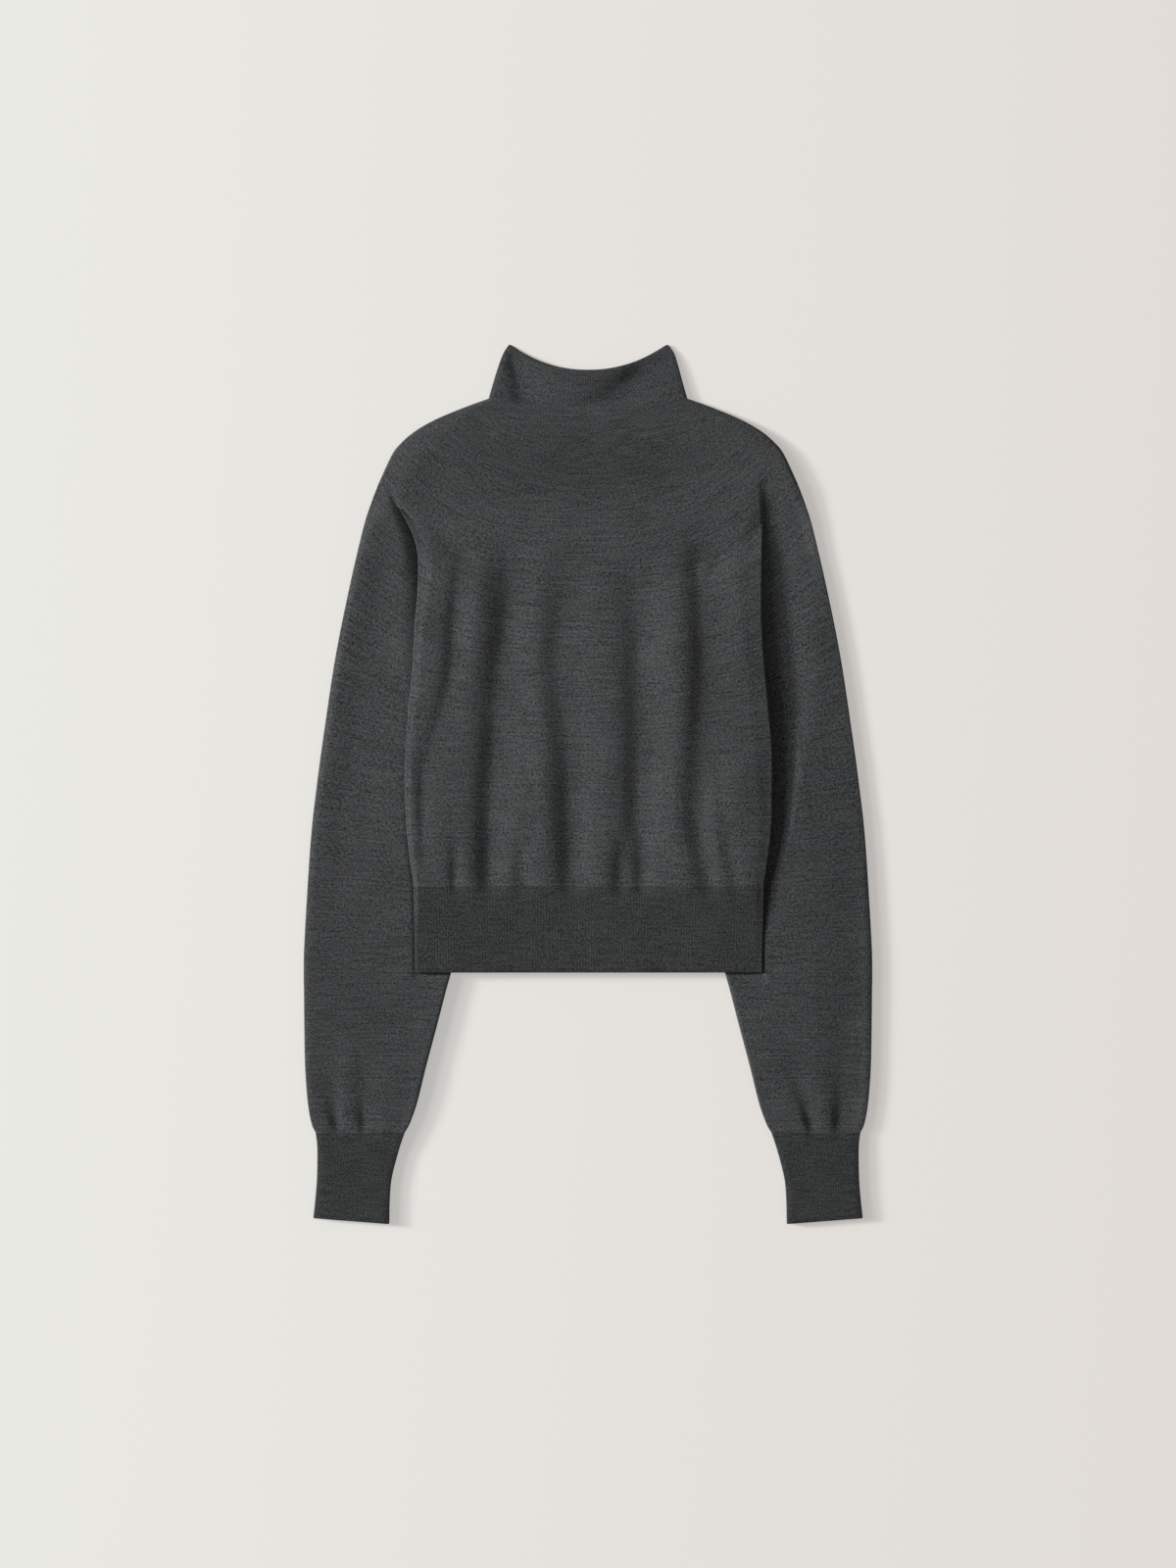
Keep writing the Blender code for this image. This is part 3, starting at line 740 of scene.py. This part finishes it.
def sleeveTop(x, y, near):
    down = below(x, y, torso["settling"])
    atWrist = smoothStep(y, seam["wrist"] + arms["wristRun"], seam["wrist"])
    high = blend(torso["armhole"], blend(arms["sleeve"], arms["wrist"], atWrist), down)
    pastShoulder = smoothStep(y, *arms["shoulderRun"])
    fold = blend(bySide(x, *arms["shoulderFold"]), bySide(x, *arms["outerFold"]), pastShoulder)
    fromOuter = sleeveOuterX(y) - np.abs(x)
    atInner = smoothStep(fromOuter, *arms["innerRun"])
    fold = blend(fold, arms["innerFold"], atInner)
    slope = bySide(x, *(read(fromOuter, 1) for read in readSlope))
    slope = slope * below(x, y, bySide(x, *arms["slopeSettling"]))
    slope = slope * (1.0 - bySide(x, *arms["slopeFade"]) * smoothStep(y, *arms["slopeFadeRun"]))
    run = blend(bySide(x, *arms["shoulderRound"]), arms["foldRound"], pastShoulder)
    run = blend(run, arms["innerRound"], atInner)
    rounding = quarterRound(near, run)
    shown = blend(fold, high + slope, rounding)
    shown = shown - armFolds(x, y) * smoothStep(near, 0.0, arms["gatherSettles"])
    shown = shown + torso["uneven"] * arms["unevenness"] * uneven(x + arms["unevenShift"], y) * rounding
    side = np.abs(x) - bodySideX(x, y)
    shown = shown - bankDip(x, y, side) * smoothStep(near, 0.0, knit["foldSettles"])
    under = smoothStep(side, 0.0, -arms["pressedRun"])
    pressed = under * smoothStep(seam["hemEdge"] - y, arms["puffedPastHem"], arms["pressedPastHem"])
    flat = blend(arms["pressedAtArmhole"], arms["pressed"], down)
    return blend(shown, flat, pressed)


def frontTop(x, y, near, middle, edgeLevel, inside):
    # the front of the body or the hem band, from its middle height to its level beside the side folds
    rise = smoothStep(np.abs(x) - sleeveInnerX(y), -torso["dishStart"], torso["dishEnd"])
    z = blend(middle, edgeLevel, rise) - edgeFall(x, y, inside)
    return z - frontFolds(x, y) * smoothStep(near, 0.0, knit["foldSettles"]) + torso["uneven"] * uneven(x, y)


def bodyTop(x, y, near):
    middle = blend(torso["armhole"], torso["middle"], below(x, y, torso["settling"]))
    pastYoke = smoothStep(yokeCourseY(x) - y, *torso["levelRun"])
    edgeLevel = blend(torso["armhole"], edgeValue(x, y, 1), pastYoke)
    return frontTop(x, y, near, middle, edgeLevel, bodySideX(x, y) - np.abs(x))


def laid(top, wall):
    # the underside and the top of a layer that lies on the surface, and at its sides on the sleeves
    def low(x, y, near):
        climb = smoothStep(np.abs(x) - sleeveInnerX(y), -torso["climbStart"], -torso["climbEnd"])
        under = climb * (sleeveTop(x, y, arms["wellInside"]) + torso["layerGap"])
        raised = top(x, y, near) - edgeValue(x, y, 4)
        lowered = blend(raised, under, smoothStep(near, *torso["undersideRun"]))
        return np.where(raised > under, lowered, under)

    def clearTop(x, y, near):
        return np.maximum(top(x, y, near), low(x, y, near) + knit["thinnest"] * wall)

    return low, clearTop


# Pieces

def evenColumns(width):
    crowding = 0.35      # brings the columns closer together beside the folds
    even = np.linspace(0.0, 1.0, round(width / knit["grid"]) + 1)
    return (even - crowding * np.sin(even * math.tau) / math.tau)[None, :]


def panelPair(look, place, courseY, low, top):
    # the front and the back of a flattened tube, which meet at its two folds
    made = []
    for (name, node, width), sign in zip(look["panels"], (1, -1)):
        columns = evenColumns(width)
        outer = halfTube(place, len(courseY), columns, low, top, sign, 0.0)
        inner = halfTube(place, len(courseY), columns, low, top, sign, knit["wall"])
        marks = stitchMarks(outer, look["wales"], courseY, False)
        piece = shell(name, outer, inner, marks, False, sign < 0)
        made.append(dress(piece, plainWool, node))
    return made


def makeYoke():
    look = {
        # name, node, and the width that the mesh columns share out
        "panels": (("yokeFront", "yoke_front", 0.40), ("yokeBack", "yoke_back", 0.28)), "wales": 200,
        "neck": 0.0046, "neckFold": (0.0026, 0.0036), "mostFold": 0.9,
        # shares of the way down from the neck over which the values turn into the sleeve's
        "highRun": (-0.15, 1.0), "foldRun": (0.1, 0.8), "roundRun": (0.1, 0.7),
        "slant": 1.34,                   # the shoulder fold crosses the lowest courses aslant
        "step": (0.0013, 0.0042),        # half widths of the step beside the body, low down and high up
        "stepRun": (0.232, 0.258),
    }
    points = np.array(cut["shoulder"])
    edge = evenRows(points, knit["grid"])
    run = np.concatenate([[0.0], np.cumsum(np.linalg.norm(np.diff(edge, axis=0), axis=1))])
    share = (run / run[-1])[:, None]
    middle = blend(cut["neckMiddleY"], cut["yokeMiddleY"], share)
    place = courseLines(np.hstack([edge, edge, middle]), blend(cut["neckBowl"], cut["yokeBowl"], share))

    def top(x, y, near):
        high = blend(look["neck"], torso["armhole"], smoothStep(share, *look["highRun"]))
        neckFold, shoulderFold = bySide(x, *look["neckFold"]), bySide(x, *arms["shoulderFold"])
        fold = blend(neckFold, shoulderFold, smoothStep(share, *look["foldRun"]))
        fold = np.minimum(fold, look["mostFold"] * high)
        reach = near * blend(1.0, look["slant"], share)
        shoulderRound = bySide(x, *arms["shoulderRound"])
        run = blend(arms["foldRound"], shoulderRound, smoothStep(share, *look["roundRun"]))
        rounding = quarterRound(reach, run)
        side = np.abs(x) - bodySideX(x, y)
        step = blend(*look["step"], smoothStep(y, *look["stepRun"]))
        beside = smoothStep(side, -step, step)
        z = blend(fold, high, rounding) - frontFolds(x, y) + torso["uneven"] * uneven(x, y) * rounding
        sunk = blend(edgeFall(x, y, -side), bankDip(x, y, side), beside)
        return z - sunk * smoothStep(reach, 0.0, knit["foldSettles"])

    return panelPair(look, place, middle[:, 0], level(0.0), top)


def makeBody():
    look = {"panels": (("bodyFront", "body_front", 0.34), ("bodyBack", "body_back", 0.34)), "wales": 178}
    table = evenRows(cut["body"], knit["grid"])
    place = courseLines(table, cut["yokeBowl"])
    low, top = laid(bodyTop, knit["wall"])
    return panelPair(look, place, table[:, 4], low, top)


def ribbed(grid, ribs, height):
    # ribs stand out of the wall along its own normals, and fade beside the tube's folds
    fullness, middleLine = 0.7, 0.7
    fadeStart, fadeEnd = 0.0015, 0.0050
    along = np.roll(grid, -1, axis=1) - np.roll(grid, 1, axis=1)
    down = np.gradient(grid, axis=0)
    normal = np.cross(along, down)
    normal /= np.maximum(np.linalg.norm(normal, axis=2, keepdims=True), 1e-9)
    steps = np.linalg.norm(np.diff(grid, axis=1, append=grid[:, :1]), axis=2)
    run = np.cumsum(steps, axis=1) - steps
    turn = run / steps.sum(axis=1, keepdims=True) * ribs * math.tau
    profile = np.abs(np.cos(turn / 2)) ** fullness - middleLine
    x = grid[..., 0]
    fromFold = np.minimum(x - x.min(axis=1, keepdims=True), x.max(axis=1, keepdims=True) - x)
    return grid + normal * (profile * height * smoothStep(fromFold, fadeStart, fadeEnd))[..., None]


def ribTube(name, place, rows, low, top, look, side, courseY):
    # ribs all round, and two wales to a rib. Side turns the faces of a tube that is laid out the other way
    ribs = round(look["width"] / look["rib"])
    ribsAround = 2 * ribs
    columns = np.linspace(0.0, 1.0, ribs * look["columnsPerRib"] + 1)[None, :]
    outer = wholeTube(place, rows, columns, columns, low, top, 0.0, look["pinches"])
    inner = wholeTube(place, rows, columns, columns, low, top, knit["ribWall"], look["pinches"])
    marks = stitchMarks(outer, 2 * ribsAround, courseY, True)
    outer = ribbed(outer, ribsAround, look["ribHeight"] * side)
    return shell(name, outer, inner, marks, True, side < 0, True)


def makeCollar():
    look = {
        "rib": 0.0021, "columnsPerRib": 6, "ribHeight": 0.00018, "width": 0.172, "rows": 0.0020,
        "pinches": knit["pinches"],
        "neck": 0.0046, "rim": 0.0040, "neckFold": (0.0032, 0.0036), "rimFold": (0.0030, 0.0032),
        "foldRound": 0.005, "lowest": 0.0016,
        # x at the base and at the rim, depth, left and right width, and how far up it runs
        "dents": [
            (-0.0560, -0.0665, 0.0026, 0.0100, 0.0200, -0.10, 1.40),
            (0.0220, 0.0550, 0.0028, 0.0220, 0.0300, -0.02, 1.35),
            (-0.0160, -0.0060, -0.0012, 0.0260, 0.0300, 0.0, 1.60),
        ],
        "dentLean": 1.7, "dentStarts": 0.25, "dentEnds": 0.35,
        # the rim rises a little towards the wearer's left
        "rimRise": 0.0022, "riseAcross": (0.004, 0.032), "riseUp": (0.62, 1.0),
        "riseSettles": (0.003, 0.018),
        # the rim's two corners are rounded off
        "rimWidth": 0.142, "cornerRound": 0.0030, "cornerHeight": 7, "cornerIn": 0.012, "cornerDown": 0.55,
    }
    table = evenRows(cut["collar"], look["rows"])
    share = np.linspace(0.0, 1.0, len(table))[:, None]
    straight = courseLines(table, cut["neckBowl"])

    def place(across):
        x, y = straight(across)
        fromFold = np.minimum(across, 1.0 - across) * look["rimWidth"]
        rounded = np.exp(-fromFold / look["cornerRound"]) * share ** look["cornerHeight"]
        return x * (1.0 - look["cornerIn"] * rounded), y - look["cornerDown"] * look["cornerRound"] * rounded

    def top(x, y, near):
        high = blend(look["neck"], look["rim"], share)
        fold = blend(bySide(x, *look["neckFold"]), bySide(x, *look["rimFold"]), share)
        z = blend(fold, high, quarterRound(near, look["foldRound"]))
        for base, rim, depth, left, right, start, end in look["dents"]:
            across = x - blend(base, rim, share ** look["dentLean"])
            wide = np.where(across < 0, left, right)
            begun = smoothStep(share, start, start + look["dentStarts"])
            tall = begun * smoothStep(share, end, end - look["dentEnds"])
            z = z - depth * tall * np.exp(-((across / wide) ** 2))
        along = smoothStep(x, *look["riseAcross"]) * smoothStep(share, *look["riseUp"])
        z = z + look["rimRise"] * along * smoothStep(near, *look["riseSettles"])
        return np.maximum(z, look["lowest"])

    piece = ribTube("mockCollar", place, len(table), level(0.0), top, look, -1, table[:, 4])
    return dress(piece, collarWool, "collar")


def makeHemBand():
    look = {
        "rib": 0.0024, "columnsPerRib": 6, "ribHeight": 0.00018, "width": 0.302, "rows": 0.0040,
        "pinches": (0.35, 0.30), "middle": 0.0094, "drop": 0.040,
    }
    table = evenRows(cut["hem"], look["rows"])
    place = courseLines(table, cut["yokeBowl"])

    def top(x, y, near):
        dropped = smoothStep(y, seam["hemTop"], seam["hemTop"] - look["drop"])
        middle = blend(torso["middle"], look["middle"], dropped)
        return frontTop(x, y, near, middle, edgeValue(x, y, 1), near)

    low, clearTop = laid(top, knit["ribWall"])
    piece = ribTube("hemBand", place, len(table), low, clearTop, look, 1, table[:, 4])
    return dress(piece, ribWool, "hem_band")


def makeSleeve(name, node, side):
    look = {
        "wales": 150, "rows": 0.0028,
        # mesh columns on top outside the body's fold, just under it and well under it, and on the underside
        "shown": 50, "beside": 10, "covered": 22, "lower": 44,
    }
    halvings = 24
    table = evenRows(cut["sleeve"], look["rows"])
    rows = len(table)
    place = sectionLines(table, side)

    def under(margin):
        # the share of each section at which it passes the body's side fold, by halving
        low, high = np.zeros((rows, 1)), np.ones((rows, 1))
        for _ in range(halvings):
            middle = (low + high) / 2
            x, y = place(middle)
            outside = np.abs(x) > bodySideX(x, y) + margin
            low, high = np.where(outside, middle, low), np.where(outside, high, middle)
        return high

    shown, covered = under(0.0), under(-arms["pressedRun"])
    columns = np.hstack([
        shown * np.linspace(0, 1, look["shown"])[None, :-1],
        blend(shown, covered, np.linspace(0, 1, look["beside"])[None, :-1]),
        blend(covered, 1.0, np.linspace(0, 1, look["covered"])[None, :]),
    ])
    lower = np.repeat(np.linspace(0, 1, look["lower"])[None, :], rows, axis=0)
    ends = (level(0.0), sleeveTop)
    outer = wholeTube(place, rows, columns, lower, *ends, 0.0, arms["pinches"])
    inner = wholeTube(place, rows, columns, lower, *ends, knit["wall"], arms["pinches"])
    middleY = (table[:, 1] + table[:, 3]) / 2
    marks = stitchMarks(outer, look["wales"], middleY, True)
    piece = shell(name, outer, inner, marks, True, side < 0)
    return dress(piece, plainWool, node)


def makeCuff(name, node, side):
    look = {
        "rib": 0.0024, "columnsPerRib": 6, "ribHeight": 0.00014, "width": 0.076, "rows": 0.0038,
        "pinches": arms["pinches"], "middle": 0.0064, "fold": 0.0056, "drop": 0.022,
    }
    table = evenRows(cut["cuff"], look["rows"])
    place = sectionLines(table, side)
    middleY = (table[:, 1] + table[:, 3]) / 2

    def top(x, y, near):
        down = smoothStep(y, seam["wrist"], seam["wrist"] - look["drop"])
        gathers = armFolds(x, y) * smoothStep(near, 0.0, arms["gatherSettles"])
        own = blend(look["fold"], look["middle"], quarterRound(near, arms["foldRound"])) - gathers
        return blend(sleeveTop(x, y, near), own, down)

    piece = ribTube(name, place, len(table), level(0.0), top, look, side, middleY)
    return dress(piece, ribWool, node)


made = makeYoke() + makeBody() + [makeCollar(), makeHemBand()]
for name, side in (("Left", 1), ("Right", -1)):
    made.append(makeSleeve("sleeve" + name, "sleeve_" + name.lower(), side))
    made.append(makeCuff("cuff" + name, "cuff_" + name.lower(), side))
for piece in made:
    print(piece.name, len(piece.data.polygons) * 2, "triangles,", round(meshArea(piece), 4), "square metres")
print("pieces ready")


# Floor, light and camera

studio = {
    "floorSize": 12.0,
    "floorDrop": 0.0004,
    # painted light falloff: the floor's colour grows darker and a little pinker from left to right, away
    # from the lamps on the left
    "floorLeft": (0.787, 0.785, 0.749, 1), "floorRight": (0.753, 0.713, 0.684, 1), "floorFade": 0.62,
    "floorGlow": 0.52, "glowBalance": 1.03,     # the part of the floor's brightness that it gives off itself
    "floorRoughness": 0.9, "floorSpecular": 0.1,
    "dome": 0.27, "domeColor": (1.0, 1.0, 1.0, 1),
    "keyFrom": (-1.0, 0.20), "keyElevation": 17.0, "keyAngle": 8.0, "keyStrength": 4.1,
    "boxAt": (-7.90, 1.44, 4.15), "boxSize": 3.2, "boxPower": 640.0,
    "cameraHeight": 3.213, "lens": 85.0,
}


def makeFloor():
    half = studio["floorSize"] / 2
    mesh = bpy.data.meshes.new("floor")
    corners = [(-half, -half), (half, -half), (half, half), (-half, half)]
    mesh.from_pydata([(x, y, -studio["floorDrop"]) for x, y in corners], [], [(0, 1, 2, 3)])
    floor = addObject("floor", mesh)
    material = bpy.data.materials.new("paleFloor")
    material.use_nodes = True
    tree = material.node_tree
    place = tree.nodes.new("ShaderNodeTexCoord").outputs["Object"]
    split = feed(tree, tree.nodes.new("ShaderNodeSeparateXYZ"), {0: place})
    # painted light falloff across the floor, from its left colour to its right one
    fade = tree.nodes.new("ShaderNodeMapRange")
    feed(tree, fade, {
        "From Min": -studio["floorFade"], "From Max": studio["floorFade"], "Value": split.outputs["X"],
    })
    color = mixNode(tree, fade.outputs["Result"], studio["floorLeft"], studio["floorRight"])
    dimmed = vectorNode(tree, "SCALE", {0: color, "Scale": 1.0 - studio["floorGlow"]})
    feed(tree, tree.nodes["Principled BSDF"], {
        "Base Color": dimmed.outputs[0], "Emission Color": color,
        "Emission Strength": studio["floorGlow"] * studio["glowBalance"],
        "Roughness": studio["floorRoughness"], "Specular IOR Level": studio["floorSpecular"],
    })
    mesh.materials.append(material)


def addLight(name, kind, energy, towards):
    light = addObject(name, bpy.data.lights.new(name, kind))
    light.data.energy = energy
    light.rotation_mode = "QUATERNION"
    light.rotation_quaternion = Vector(towards).to_track_quat("Z", "Y")
    return light


def makeLights():
    world = bpy.data.worlds.new("studio")
    world.use_nodes = True
    sky = world.node_tree.nodes["Background"]
    feed(world.node_tree, sky, {"Color": studio["domeColor"], "Strength": studio["dome"]})
    bpy.context.scene.world = world
    rise = math.radians(studio["keyElevation"])
    dx, dy = studio["keyFrom"]
    run = math.hypot(dx, dy)
    toLight = np.array([dx / run * math.cos(rise), dy / run * math.cos(rise), math.sin(rise)])
    key = addLight("key", "SUN", studio["keyStrength"], toLight)
    key.data.angle = math.radians(studio["keyAngle"])
    box = addLight("softbox", "AREA", studio["boxPower"], studio["boxAt"])
    box.data.size = studio["boxSize"]
    box.location = studio["boxAt"]


def makeCamera():
    camera = addObject("camera", bpy.data.cameras.new("camera"))
    camera.data.lens = studio["lens"]
    camera.location = (0.0, 0.0, studio["cameraHeight"])
    bpy.context.scene.camera = camera


makeFloor()
makeLights()
makeCamera()
bpy.context.scene.view_settings.view_transform = "Standard"
print("studio ready")
